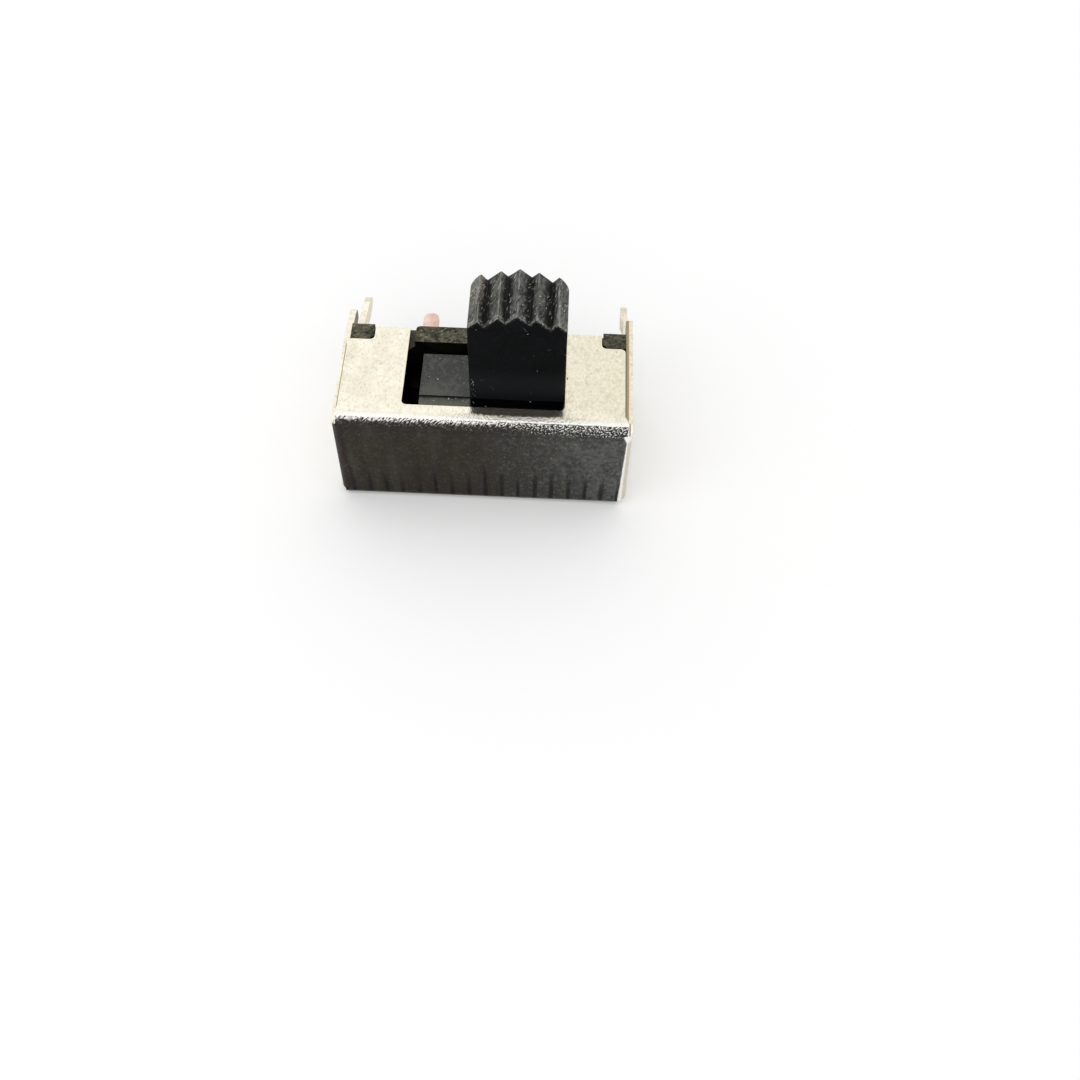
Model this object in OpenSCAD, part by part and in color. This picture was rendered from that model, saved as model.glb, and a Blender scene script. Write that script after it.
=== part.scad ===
// Side-actuated slide switch: a folded steel shell, a moulded base with two rows of three
// terminals, and a ribbed slider that carries two spring contact clips.
// +X is the way the knob slides, +Z is the way the knob points, +Y is the way the pins leave.
// The origin is the centre of the face that the switch stands on. Units are millimetres.

/* [Shell] */
// Length over the two end walls
body_l = 17.3; // [16.8:0.1:18]
// Height of the body, from the standing face to the slotted face
body_h = 7.2; // [6.8:0.1:8]
// Thickness of the sheet
sheet_t = 0.4; // [0.3:0.02:0.5]
// Outer radius of every bend
bend_r = 0.5; // [0.45:0.05:0.7]
// How far a folded face reaches over the end walls, on average
lap = 0.01; // [-0.05:0.01:0.1]
// How much further it reaches on the left than on average
skew = 0.08; // [0:0.01:0.1]
// How far it reaches over the end walls at its bend, where it flares out
flare = 0.17; // [0.1:0.01:0.25]
// Where the flare ends, behind the front wall
flare_y = 1.1; // [0.8:0.05:1.5]
// Slit between a folded face and the edge of the end wall under it
fold_gap = 0.05; // [0.03:0.01:0.1]
// Length of a folded face behind the front wall, to the tips of its tongues
face_d = 7.25; // [7:0.05:7.4]
// Where a folded face ends beside its tongues
notch_y = 6.22; // [5.8:0.02:6.3]
// Distance between the outer edges of the two tongues
tongue_span = 13.54; // [13:0.02:14]
// Front edge of the slot, behind the front wall
slot_y = 1.35; // [0.8:0.05:1.8]
// Radius in the corners of the slot and at the roots of the tongues
corner_r = 0.28; // [0.1:0.02:0.4]

/* [Legs] */
// How far the end walls stand off the board, behind the front wall
standoff_y = 9.1; // [8:0.1:9.5]
// Height of a standoff tab
standoff_h = 0.9; // [0.6:0.1:1.5]
// Tip of the board legs, behind the front wall
leg_tip_y = 12.95; // [12.3:0.05:13.5]
// Width of a board leg
leg_w = 1.1; // [0.8:0.1:2]
// Inward kink that holds the right-hand leg in its board hole
kink = 0.17; // [0:0.01:0.3]
// Where the kink starts, behind the front wall
kink_y = 11.2; // [10:0.1:11.3]
// How far the left-hand leg leans inwards at its tip
lean = 0.3; // [0:0.05:0.35]

/* [Base] */
// Back of the base, behind the front wall
base_y = 7.45; // [7.3:0.05:7.6]
// Thickness of the base's floor
floor_t = 1.25; // [1:0.05:1.4]
// Thickness of the base's end walls
end_t = 0.45; // [0.3:0.05:0.6]
// Gap all round between the base and the shell
base_gap = 0.03; // [0.01:0.01:0.06]
// How far the raised part of the floor between the tongues stops short of either end of the slot
boss_step = 0.33; // [0.25:0.01:0.6]
// Forward reach of the corner webs under the slotted face
web_y = 0.3; // [0.1:0.05:0.35]
// Height of those webs
web_h = 0.45; // [0.3:0.05:0.6]
// Gap between a tongue and the base's corner beside it
notch_gap = 0.08; // [0.05:0.01:0.12]

/* [Slider] */
// Travel from one position to the other
travel = 3.8; // [3:0.1:4]
// Width of the knob along its travel
knob_w = 5.5; // [5:0.1:5.8]
// Front of the knob, behind the front wall
knob_y = 2.51; // [2.3:0.01:3]
// Depth of the knob
knob_d = 3.6; // [3:0.05:3.65]
// Height of the middle ridge above the slotted face
knob_h = 6.3; // [4:0.02:8]
// Radius of the knob's two front upright corners
knob_r = 0.14; // [0.05:0.01:0.3]
// Radius of its two back corners, which pass in front of the base's webs
back_r = 0.46; // [0.42:0.01:0.6]
// Rounding of the crests and valleys of its ridges
ridge_r = 0.05; // [0.03:0.01:0.12]
// Gap between the knob and each end of the slot
end_gap = 0.04; // [0.02:0.01:0.1]
// Gap left between the sliding block and the base's end wall at either end of the travel
stop_gap = 0.18; // [0.1:0.02:0.4]
// Back of the sliding block, behind the front wall
block_y = 5.68; // [5.4:0.02:5.75]
// Running gap between the block and the shell
run_gap = 0.1; // [0.05:0.01:0.15]
// Drop of the front strip of the block below its top
strip_drop = 0.12; // [0:0.01:0.2]

/* [Contacts] */
// Spacing of the terminals in a row
pitch = 3.8; // [3.5:0.1:4]
// Spacing of the two rows
row_gap = 2.8; // [2.4:0.1:3]
// Thickness of the terminal strip
term_t = 0.4; // [0.3:0.02:0.5]
// Width of a terminal's pin
pin_w = 0.95; // [0.7:0.05:1.2]
// Tip of the pins, behind the front wall
pin_tip_y = 10.4; // [9.5:0.1:11.5]
// Width of the blade inside
blade_w = 1.6; // [1.2:0.1:1.8]
// Front of the blade, behind the front wall
blade_y = 4.3; // [4.2:0.05:4.6]
// Gap round a pin in its hole
pin_gap = 0.02; // [0.01:0.01:0.05]
// Thickness of the clip strip
clip_t = 0.2; // [0.15:0.01:0.25]
// Length of a clip along the travel
clip_l = 5; // [4.8:0.1:5.4]
// Depth of a clip, from its back to the tips of its fingers
clip_d = 2.05; // [1.9:0.05:2.1]
// Where its fingers pinch the blade, from its back
clip_pinch = 1.55; // [1.4:0.05:1.65]
// How far its back stands wider than its pinch, on each side
clip_swell = 0.22; // [0.15:0.01:0.25]
// Gap between the fingers at its two ends
finger_gap = 1.8; // [1.4:0.1:2.4]
// Gap between a clip and the blades it runs on
clip_gap = 0.03; // [0.02:0.01:0.05]

/* [Hidden] */

wall_x = body_l / 2;                       // outer face of an end wall
wall_in = wall_x - sheet_t;                // inner face of an end wall
end_lo = sheet_t + fold_gap;               // lower edge of an end wall, on the folded face
end_hi = body_h - end_lo;
tongue_x = tongue_span / 2;
slot_w = knob_w + travel + 2 * end_gap;
boss_half = slot_w / 2 - boss_step;
mid_z = body_h / 2;
floor_y = base_y - floor_t;                // inner face of the base's floor
base_x = wall_in - base_gap;
base_lo = sheet_t + base_gap;
base_hi = body_h - base_lo;
block_top = body_h - sheet_t - run_gap;
block_lo = sheet_t + run_gap;
block_l = 2 * (base_x - end_t - stop_gap) - travel;
knob_x = travel / 2;                       // the knob rests at the right-hand end
row_lo = mid_z - row_gap / 2;
row_hi = mid_z + row_gap / 2;
groove_h = 1.4;                            // slots of the block that pass the blades
groove_y = blade_y - 0.15;
clip_web = 0.7;                            // depth of the web that joins a clip's two ends
pocket_h = 1.9;                            // pockets of the block that hold the clips
pocket_y = 3.3;

// Half of the ridged top, from the middle outwards: distance and drop of each crest and valley
ridges = [[0, 0], [0.66, 0.6], [1.05, 0.21], [1.82, 0.94], [2.17, 0.52], [2.75, 1.08]];

steel = [0.87, 0.84, 0.76];
olive = [0.2, 0.2, 0.16];
black = [0.05, 0.05, 0.055];
copper = [0.86, 0.6, 0.5];
bronze = [0.8, 0.62, 0.38];

// Points of an arc about c, from angle a to angle b
function arc(c, r, a, b, n = 6) = [for (i = [0:n]) let (t = a + (b - a) * i / n) c + r * [cos(t), sin(t)]];
function flip(pts) = [for (i = [len(pts) - 1:-1:0]) [-pts[i][0], pts[i][1]]];
// Soft corner at b, on the way from a to c, that starts and ends r away from it
function soft(a, b, c, r, n = 3) =
    let (p = b + r * (a - b) / norm(a - b), q = b + r * (c - b) / norm(c - b))
    [for (i = [0:n]) let (t = i / n) pow(1 - t, 2) * p + 2 * t * (1 - t) * b + pow(t, 2) * q];

// Everything is laid out behind the front wall, then centred on the body
module place() translate([0, -base_y / 2, 0]) children();
// A YZ outline run along X between two stations
module along_x(a, b) translate([a, 0, 0]) rotate([90, 0, 90]) linear_extrude(b - a) children();
// A plan outline raised between two heights
module up(a, b) translate([0, 0, a]) linear_extrude(b - a) children();

// ---- Shell: one sheet, folded back at the top, the bottom and both ends ----

// Front wall with both folded faces, seen from the end
module fold_section(d) {
    r = bend_r;
    q = bend_r - sheet_t;
    polygon(concat([[d, 0]], arc([r, r], r, 270, 180), arc([r, body_h - r], r, 180, 90),
                   [[d, body_h], [d, body_h - sheet_t]],
                   arc([r, body_h - r], q, 90, 180), arc([r, r], q, 180, 270), [[d, sheet_t]]));
}

// Right half of a folded face in plan: a flare at the bend, a round corner, a tongue with a
// round root, and half of the open slot. x is its side edge.
function face_half(x, slotted) =
    let (r = corner_r, y = notch_y, s = slot_w / 2, t = 0.15)
    concat([[wall_in + flare, 0], [wall_in + flare, bend_r], [x, flare_y]],
           arc([x - r, y - r], r, 0, 90), arc([tongue_x + r, y + r], r, 270, 180),
           arc([tongue_x - t, face_d - t], t, 0, 90, 3), [[s, face_d]],
           slotted ? arc([s - r, slot_y + r], r, 0, -90) : arc([s - r, y + r], r, 0, -90));

module face_plan(slotted) polygon(concat(face_half(wall_in + lap - skew, slotted),
                                         flip(face_half(wall_in + lap + skew, slotted))));

// End wall with its bend, in plan
module end_plan(side) {
    r = bend_r;
    x = wall_x - r;
    outer = concat([[x - r, 0]], arc([x, r], r, 270, 360), [[wall_x, base_y - 0.1]]);
    inner = concat([[wall_in, base_y - 0.1]], arc([x, r], r - sheet_t, 360, 270), [[x - r, sheet_t]]);
    polygon([for (p = concat(outer, inner)) [side * p[0], p[1]]]);
}

// Back edge of an end wall, its standoff tabs and its board leg, seen from the side
module end_side() {
    z1 = mid_z - leg_w / 2;
    z2 = mid_z + leg_w / 2;
    y0 = base_y - 1;
    polygon([[y0, z1], [leg_tip_y - 0.9, z1], [leg_tip_y - 0.25, z1 + 0.2], [leg_tip_y, mid_z - 0.15],
             [leg_tip_y, mid_z + 0.15], [leg_tip_y - 0.25, z2 - 0.2], [leg_tip_y - 0.9, z2], [y0, z2]]);
    r = 0.25;
    for (z = [end_lo, end_hi - standoff_h])
        polygon(concat([[y0, z]], arc([standoff_y - r, z + r], r, 270, 360, 4),
                       arc([standoff_y - r, z + standoff_h - r], r, 0, 90, 4), [[y0, z + standoff_h]]));
}

// Plan of the sheet behind the end wall, which shifts inwards by k between two stations
module leg_plan(side, k, a, b) {
    y0 = base_y - 2;
    y1 = leg_tip_y + 1;
    outer = [[wall_x, y0], [wall_x, a], [wall_x - k, b], [wall_x - k, y1]];
    inner = [[wall_in - k, y1], [wall_in - k, b], [wall_in, a], [wall_in, y0]];
    polygon([for (p = concat(outer, inner)) [side * p[0], p[1]]]);
}

module shell() color(steel) place() {
    intersection() {
        along_x(-wall_x, wall_x) fold_section(face_d);
        union() {
            up(body_h - bend_r, body_h + 1) face_plan(true);
            up(-1, bend_r) face_plan(false);
            translate([bend_r - wall_x, -1, 0]) cube([2 * (wall_x - bend_r), bend_r + 1, body_h]);
        }
    }
    for (side = [-1, 1]) up(end_lo, end_hi) end_plan(side);
    intersection() {
        up(0, body_h) {
            leg_plan(1, kink, kink_y, kink_y + 0.5);
            leg_plan(-1, lean, base_y + 0.1, leg_tip_y);
        }
        along_x(-wall_x, wall_x) end_side();
    }
}

// ---- Base: moulded tray that closes the back and carries the terminals ----

// Tray in plan: a floor with an end wall at each side
module tray_plan() {
    y1 = sheet_t + base_gap;
    half = [[base_x, y1], [base_x, base_y], [0, base_y]];
    inside = [[0, floor_y], [base_x - end_t, floor_y], [base_x - end_t, y1]];
    for (s = [-1, 1]) polygon([for (p = concat(half, inside)) [s * p[0], p[1]]]);
}

// What rises between and beside the tongues, flush with the sheet, from a given front edge
module boss_plan(front) {
    r = 0.25;
    b = boss_half;
    mid = concat([[b, front]], arc([b - r, base_y - r], r, 0, 90, 4));
    polygon(concat(mid, flip(mid)));
    x1 = tongue_x + notch_gap;
    y1 = notch_y + notch_gap;
    for (s = [-1, 1])
        polygon([for (p = [[x1 + 0.25, y1], [base_x, y1], [base_x, base_y], [x1, base_y], [x1, y1 + 0.25]])
            [s * p[0], p[1]]]);
}

// Webs under the slotted face, with the slanted corners that show at the slot's ends
module web_plan() {
    y1 = floor_y - web_y;
    for (s = [-1, 1])
        polygon([for (p = [[boss_half, floor_y + 0.1], [boss_half, floor_y], [boss_half + web_y, y1],
                           [base_x - 0.1, y1], [base_x - 0.1, floor_y + 0.1]]) [s * p[0], p[1]]]);
}

module base() color(olive) place() difference() {
    union() {
        up(base_lo, base_hi) tray_plan();
        up(base_gap, base_lo + web_h) boss_plan(notch_y + notch_gap);
        up(base_hi - web_h, body_h - base_gap) boss_plan(floor_y);
        up(base_hi - web_h, base_hi) web_plan();
    }
    for (x = [-pitch, 0, pitch], z = [row_lo, row_hi])
        translate([x, floor_y + floor_t / 2, z])
            cube([pin_w + 2 * pin_gap, 2 * floor_t, term_t + 2 * pin_gap], center = true);
}

// ---- Terminals: stamped strip, a blade inside and a pin outside ----

module terminal_plan() {
    w = pin_w / 2;
    b = blade_w / 2;
    right = concat([[0, blade_y]], arc([b - 0.2, blade_y + 0.2], 0.2, 270, 360, 4), [[b, floor_y], [w, floor_y]],
                   arc([0.1, pin_tip_y - w + 0.1], w - 0.1, 0, 90, 5));
    polygon(concat(right, flip(right)));
}

module terminal(x, z) color(copper) place()
    translate([x, 0, 0]) up(z - term_t / 2, z + term_t / 2) terminal_plan();

module terminal_upper_left() terminal(-pitch, row_hi);
module terminal_upper_centre() terminal(0, row_hi);
module terminal_upper_right() terminal(pitch, row_hi);
module terminal_lower_left() terminal(-pitch, row_lo);
module terminal_lower_centre() terminal(0, row_lo);
module terminal_lower_right() terminal(pitch, row_lo);

// ---- Slider: block and ridged knob in one moulding ----

// Front view of the knob: two upright sides and the arched row of ridges
module knob_outline() {
    top = body_h + knob_h;
    last = len(ridges) - 1;
    k = knob_w / 2 / ridges[last][0];
    half = [for (i = [last:-1:0]) [ridges[i][0] * k, top - ridges[i][1]]];
    foot = [knob_w / 2, block_top - 0.5];
    line = concat([foot], half, flip([for (i = [0:last - 1]) half[i]]), [[-foot[0], foot[1]]]);
    polygon(concat([foot], [for (i = [1:len(line) - 2], p = soft(line[i - 1], line[i], line[i + 1], ridge_r)) p],
                   [[-foot[0], foot[1]]]));
}

// Plan of the knob, with its upright corners rounded
module knob_plan() {
    x = knob_w / 2;
    half = concat(arc([x - knob_r, knob_y + knob_r], knob_r, -90, 0, 4),
                  arc([x - back_r, knob_y + knob_d - back_r], back_r, 0, 90));
    polygon(concat(half, flip(half)));
}

module slider() color(black) place() translate([knob_x, 0, 0]) {
    difference() {
        translate([-block_l / 2, sheet_t + run_gap, block_lo])
            cube([block_l, block_y - sheet_t - run_gap, block_top - block_lo]);
        translate([-block_l, -1, block_top - strip_drop]) cube([2 * block_l, knob_y + 1, body_h]);
        for (z = [row_lo, row_hi]) {
            translate([-block_l, groove_y, z - groove_h / 2]) cube([2 * block_l, block_y, groove_h]);
            translate([-clip_l / 2 - run_gap / 2, pocket_y, z - pocket_h / 2])
                cube([clip_l + run_gap, block_y, pocket_h]);
        }
    }
    intersection() {
        translate([0, knob_y + knob_d, 0]) rotate([90, 0, 0]) linear_extrude(knob_d) knob_outline();
        up(block_lo, body_h + knob_h + 1) knob_plan();
    }
}

// ---- Clips: sprung channels that bridge two blades of a row ----

// Closed at the back, pinched on the blade, and opened again at the tips
module clip_section() {
    g = term_t / 2 + clip_gap;
    t = clip_t;
    w = g + clip_swell;
    c = 0.1;
    y = pocket_y;
    inner = [[y + t, w - c / 2], [y + clip_pinch, g], [y + clip_d, w - c / 2]];
    outer = [[y + clip_d, w - c / 2 + t], [y + clip_pinch, g + t], [y + c, w + t], [y, w + t - c]];
    half = concat(inner, outer);
    polygon(concat([for (i = [len(half) - 1:-1:0]) [half[i][0], -half[i][1]]], half));
}

module clip(z) color(bronze) place() translate([knob_x, 0, z]) difference() {
    along_x(-clip_l / 2, clip_l / 2) clip_section();
    translate([-finger_gap / 2, pocket_y + clip_web, -pocket_h]) cube([finger_gap, clip_d, 2 * pocket_h]);
}

module clip_upper() clip(row_hi);
module clip_lower() clip(row_lo);

shell();
base();
terminal_upper_left();
terminal_upper_centre();
terminal_upper_right();
terminal_lower_left();
terminal_lower_centre();
terminal_lower_right();
slider();
clip_upper();
clip_lower();
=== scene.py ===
"""Looks of a side-actuated slide switch: plated steel shell, moulded base, copper pins, black knob."""
import math
import bpy
import bmesh
from mathutils import Matrix, Vector


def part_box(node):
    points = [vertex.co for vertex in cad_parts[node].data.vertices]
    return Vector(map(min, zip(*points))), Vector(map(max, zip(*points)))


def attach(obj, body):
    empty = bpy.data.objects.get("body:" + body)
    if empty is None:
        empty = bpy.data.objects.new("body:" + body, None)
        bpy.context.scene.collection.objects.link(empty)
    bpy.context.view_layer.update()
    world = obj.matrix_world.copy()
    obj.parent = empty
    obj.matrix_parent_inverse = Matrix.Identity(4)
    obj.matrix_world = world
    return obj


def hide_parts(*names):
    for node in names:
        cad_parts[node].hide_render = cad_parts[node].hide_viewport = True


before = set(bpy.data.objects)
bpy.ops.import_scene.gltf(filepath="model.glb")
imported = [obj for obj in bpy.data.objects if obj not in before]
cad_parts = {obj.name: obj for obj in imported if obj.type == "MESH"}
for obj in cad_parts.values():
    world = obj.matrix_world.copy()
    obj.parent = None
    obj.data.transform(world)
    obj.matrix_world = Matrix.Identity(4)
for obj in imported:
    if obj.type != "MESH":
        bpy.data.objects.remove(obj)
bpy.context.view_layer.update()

MM = 0.001
PER_MM2 = 1 / MM ** 2
HOUSING = "housing"
SLIDER_UNIT = "slider_unit"
PIN_ROWS = ("lower", "upper")
PIN_PLACES = ("left", "centre", "right")

# places on the part, in millimetres
shell_lo, shell_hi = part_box("shell")
slider_lo, slider_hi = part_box("slider")
FACE_Z = shell_hi.z / MM                   # height of the slotted face
FRONT_Y = shell_lo.y / MM                  # front of the shell
WALL_X = shell_hi.x / MM                   # outer face of an end wall
BEND_X = WALL_X - 0.5                      # where the bend of an end wall begins
BASE_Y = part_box("base")[1].y / MM          # back of the base
PLATE_Z = FACE_Z - 0.5                     # top of the sliding block
STRIP_Z = PLATE_Z - 0.12                   # its strip before the knob
KNOB_TOP = slider_hi.z / MM
KNOB_X = (slider_lo.x + slider_hi.x) / 2 / MM
KNOB_HALF = 5.5 / 2                        # from its middle line to a side
KNOB_FRONT = FRONT_Y + 2.51
ROLL_RELIEF = 14                           # how strongly the face rolls off before its front bend
# from the knob's middle line (0) to its side (1): place, wear (crests 1, valleys 0) and drop below the top
RIDGES = ((0, 1, 0), (0.24, 0, 0.6), (0.38, 1, 0.21), (0.66, 0, 0.94), (0.79, 1, 0.52), (1, 0.7, 1.08))
WEAR, FALL = 1, 2                          # its columns
DEEPEST = 1.2                              # the fall that a curve's full value stands for

# finishes of the faces, in the order in which a piece carries them
OUTSIDE, INNER_SIDE, CUT_EDGE = range(3)
SEEN, HOLLOW = range(2)
BLACK_SIDE, RIDGED_TOP, PLATE, TORN_EDGE = range(4)

# a CAD mesh made ready: corners this near are one (millimetres), faces this level are one, edges over this are
# sharp (degrees)
SAME_PLACE, FLAT, SHARP = 0.002, 0.5, 32
# how far sharp edges are rounded, in millimetres
SHELL_EDGE, BASE_EDGE, SLIDER_EDGE, PIN_EDGE, CLIP_EDGE = 0.035, 0.04, 0.035, 0.04, 0.02
# grains to a square millimetre, their radius in millimetres and their seed
GRAINS = {"plate_dust": (1.1, 0.06, 11), "knob_dust": (0.16, 0.03, 7), "foot_lint": (22, 0.035, 2)}
# slivers to a square millimetre, their length and width in millimetres, the way they lie and their seed
SLIVERS = {"ridge_slivers": (6, 0.32, 0.018, (0.5, 0.85, 0), 21),
           "rim_slivers": (150, 0.18, 0.026, (0.5, 0.7, 0.2), 5)}

# lamps: place and side in millimetres, power in watts
LAMPS = {"back_softbox": ((-20, 110, 130), 150, 0.012), "left_softbox": ((-110, -60, 110), 90, 0.02),
         "top_softbox": ((0, 10, 155), 100, 0.004)}
LIT_PLACE = (0, 0, 5)
ROOM_LIGHT = 0.885
FLOOR_HALF, FLOOR_GLOW = 2.0, 0.1          # metres from its middle to a side; strength
# camera: millimetres and degrees
CAMERA_PLACE, CAMERA_TARGET = (4.125, -48.299, 63.247), (3.574, -6.544, 0)
CAMERA_ROLL = 1.815
LENS, SENSOR = 41.976, 36


# ---- Small helpers for node trees ----

def add(tree, kind, values=None, **settings):
    """A new node with its settings, and numbers or links on its inputs by their name or place."""
    made = tree.nodes.new(kind)
    for key, value in settings.items():
        setattr(made, key, value)
    for key, value in (values or {}).items():
        if isinstance(value, bpy.types.NodeSocket):
            tree.links.new(value, made.inputs[key])
        else:
            made.inputs[key].default_value = value
    return made


def maths(tree, operation, a, b=0.0, clamp=False):
    return add(tree, "ShaderNodeMath", {0: a, 1: b}, operation=operation, use_clamp=clamp).outputs[0]


def step(tree, value, low, high, out_low=0.0, out_high=1.0):
    """Smooth change from out_low to out_high as value goes from low to high. A linked low is under high."""
    if not isinstance(low, bpy.types.NodeSocket) and low > high:
        low, high, out_low, out_high = high, low, out_high, out_low
    made = add(tree, "ShaderNodeMapRange", {"Value": value, "From Min": low, "From Max": high,
                                            "To Min": out_low, "To Max": out_high},
               interpolation_type="SMOOTHSTEP", clamp=True)
    return made.outputs["Result"]


def blend(tree, factor, a, b):
    """Colour a changed to b by factor. A colour is three numbers or a link."""
    a, b = ((*c, 1) if isinstance(c, tuple) else c for c in (a, b))
    made = add(tree, "ShaderNodeMix", {0: factor, 6: a, 7: b}, data_type="RGBA", clamp_factor=True)
    return made.outputs[2]


def plus(tree, a, b):
    return maths(tree, "ADD", a, b)


def minus(tree, a, b):
    return maths(tree, "SUBTRACT", a, b)


def times(tree, first, *others):
    """Product. Of masks it is where they all are."""
    for value in others:
        first = maths(tree, "MULTIPLY", first, value)
    return first


def either(tree, a, b):
    """Where at least one of two masks is."""
    return maths(tree, "ADD", a, b, clamp=True)


def swing(tree, value, size, middle=0.5):
    """How far a value is from its middle, times size."""
    return times(tree, minus(tree, value, middle), size)


def band(tree, value, middle, outer, inner):
    """1 where value is nearer than inner to its middle, 0 beyond outer."""
    return step(tree, maths(tree, "ABSOLUTE", minus(tree, value, middle)), outer, inner)


def between(tree, factor, a, b):
    """Number a changed to b by factor."""
    return add(tree, "ShaderNodeMix", {0: factor, 2: a, 3: b}).outputs[0]


def place_in_mm(tree):
    """Place on the piece in millimetres."""
    coords = add(tree, "ShaderNodeTexCoord").outputs["Object"]
    return add(tree, "ShaderNodeVectorMath", {0: coords, "Scale": 1 / MM}, operation="SCALE").outputs[0]


def apart(tree, place):
    """The x, y and z of a place."""
    return add(tree, "ShaderNodeSeparateXYZ", {0: place}).outputs


def turned(tree, place, turn=(0, 0, 0), scale=(1, 1, 1)):
    """Place turned by angles in degrees. A scale under 1 draws the pattern out along that axis."""
    angles = tuple(math.radians(a) for a in turn)
    first = add(tree, "ShaderNodeMapping", {"Vector": place, "Rotation": angles})
    return add(tree, "ShaderNodeMapping", {"Vector": first.outputs[0], "Scale": scale}).outputs[0]


def noise(tree, place, scale, detail=2.0, rough=0.5, warp=0.0):
    """Soft random value from 0 to 1. scale is in waves per millimetre."""
    made = add(tree, "ShaderNodeTexNoise", {"Vector": place, "Scale": scale, "Detail": detail,
                                            "Roughness": rough, "Distortion": warp})
    return made.outputs["Fac"]


def spots(tree, place, scale, share, inner, outer):
    """Scattered round spots, 1 at their middle. share is how many of the cells have one."""
    cells = add(tree, "ShaderNodeTexVoronoi", {"Vector": place, "Scale": scale, "Randomness": 1.0})
    lot = add(tree, "ShaderNodeSeparateColor", {0: cells.outputs["Color"]}).outputs[0]
    chosen = maths(tree, "LESS_THAN", lot, share)
    return times(tree, chosen, step(tree, cells.outputs["Distance"], outer, inner))


def scratches(tree, place, turn, length, width, share):
    """Thin straight marks of about that length and width in millimetres, all along one direction."""
    cell = 3  # a cell is three marks long and wide
    flow = turned(tree, place, turn, (1 / (cell * length), 1 / (cell * width), 1 / (cell * length)))
    return spots(tree, flow, 1.0, share, 0.08, 0.2)


def new_finish(name, **shader_numbers):
    """An empty finish with its shader and its constant numbers."""
    finish = bpy.data.materials.new(name)
    finish.use_nodes = True
    tree = finish.node_tree
    shader = tree.nodes["Principled BSDF"]
    for key, value in shader_numbers.items():
        shader.inputs[key.replace("_", " ")].default_value = value
    return finish, tree, shader


def link_surface(tree, shader, colour, roughness, height, depth):
    """Connects colour, roughness and relief. depth is the relief's height in millimetres."""
    bump = add(tree, "ShaderNodeBump", {"Height": height, "Distance": depth * MM, "Strength": 1.0})
    tree.links.new(colour, shader.inputs["Base Color"])
    tree.links.new(roughness, shader.inputs["Roughness"])
    tree.links.new(bump.outputs[0], shader.inputs["Normal"])


# ---- Finishes ----

def pale_plate(tree, place, x, depth, grain):
    """Pale cloudy plate, duller to the right, and its small pits. depth is the way back from the front."""
    cloud = noise(tree, place, 0.9, 4, 0.6)
    blotch = noise(tree, place, 3.2, 2, 0.6)
    right = step(tree, x, -1, 8)
    pale = blend(tree, step(tree, cloud, 0.36, 0.62), (0.96, 0.915, 0.765), (0.875, 0.82, 0.668))
    pale = blend(tree, times(tree, right, 0.8), pale, (0.785, 0.725, 0.568))
    # painted highlight: lighter near the front, where the face begins to turn into its bend
    pale = blend(tree, step(tree, depth, 1.7, 0.5, 0, 0.5), pale, (0.98, 0.945, 0.81))
    # dull blotches, more of them to the right, then fine darker and lighter grain
    dull = step(tree, blotch, 0.48, 0.72)
    pale = blend(tree, times(tree, dull, step(tree, right, 0, 1, 0.3, 0.6)), pale, (0.64, 0.575, 0.43))
    pale = blend(tree, step(tree, grain, 0.5, 0.72, 0, 0.55), pale, (0.6, 0.54, 0.4))
    pale = blend(tree, step(tree, grain, 0.46, 0.3, 0, 0.6), pale, (1.0, 0.985, 0.9))
    pits = spots(tree, place, 3.4, step(tree, right, 0, 1, 0.1, 0.24), 0.04, 0.3)
    return blend(tree, times(tree, pits, 0.4), pale, (0.34, 0.28, 0.175)), pits


def end_shade_and_glint_paint(tree, pale, x, side, depth, drop):
    """Painted brown shade lines beside the folded face, duller end bends and a painted highlight on the front corner at
    the right.
    """
    # painted shade between the folded face and the right end wall, just under the top
    low = times(tree, step(tree, drop, 0.3, 0.4), step(tree, drop, 0.65, 0.55))
    gap = times(tree, step(tree, x, WALL_X - 0.2, WALL_X - 0.27), step(tree, x, WALL_X - 0.55, WALL_X - 0.5))
    gap = times(tree, gap, low, step(tree, depth, 0.4, 0.5))
    pale = blend(tree, gap, pale, (0.36, 0.28, 0.175))
    # the same painted shade at the left, thin and darker
    seam_shade = band(tree, x, 0.2 - WALL_X, 0.05, 0.025)
    seam_shade = times(tree, seam_shade, low, step(tree, depth, 6.3, 6.1, 0, 0.8))
    pale = blend(tree, seam_shade, pale, (0.2, 0.13, 0.085))
    # upright bends at both ends of the front, and a painted glint on the right one
    turn = times(tree, step(tree, side, BEND_X, BEND_X + 0.1), step(tree, depth, 0.6, 0.3))
    pale = blend(tree, times(tree, turn, step(tree, drop, 0.4, 1.0, 0, 0.6)), pale, (0.56, 0.51, 0.43))
    painted_glint = times(tree, step(tree, drop, 0.35, 0.42), step(tree, drop, 1.3, 0.9))
    painted_glint = times(tree, times(tree, turn, step(tree, x, 0, 1)), painted_glint)
    pale = blend(tree, painted_glint, pale, (1.0, 1.0, 0.97))
    # painted brown shade line where the folded face meets that bend
    corner = times(tree, band(tree, x, WALL_X - 0.19, 0.07, 0.04), step(tree, drop, 0.65, 0.55))
    corner = times(tree, corner, times(tree, step(tree, depth, 1.1, 0.8), step(tree, depth, 0.06, 0.14)))
    return blend(tree, times(tree, corner, 0.9), pale, (0.22, 0.11, 0.07))


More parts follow.
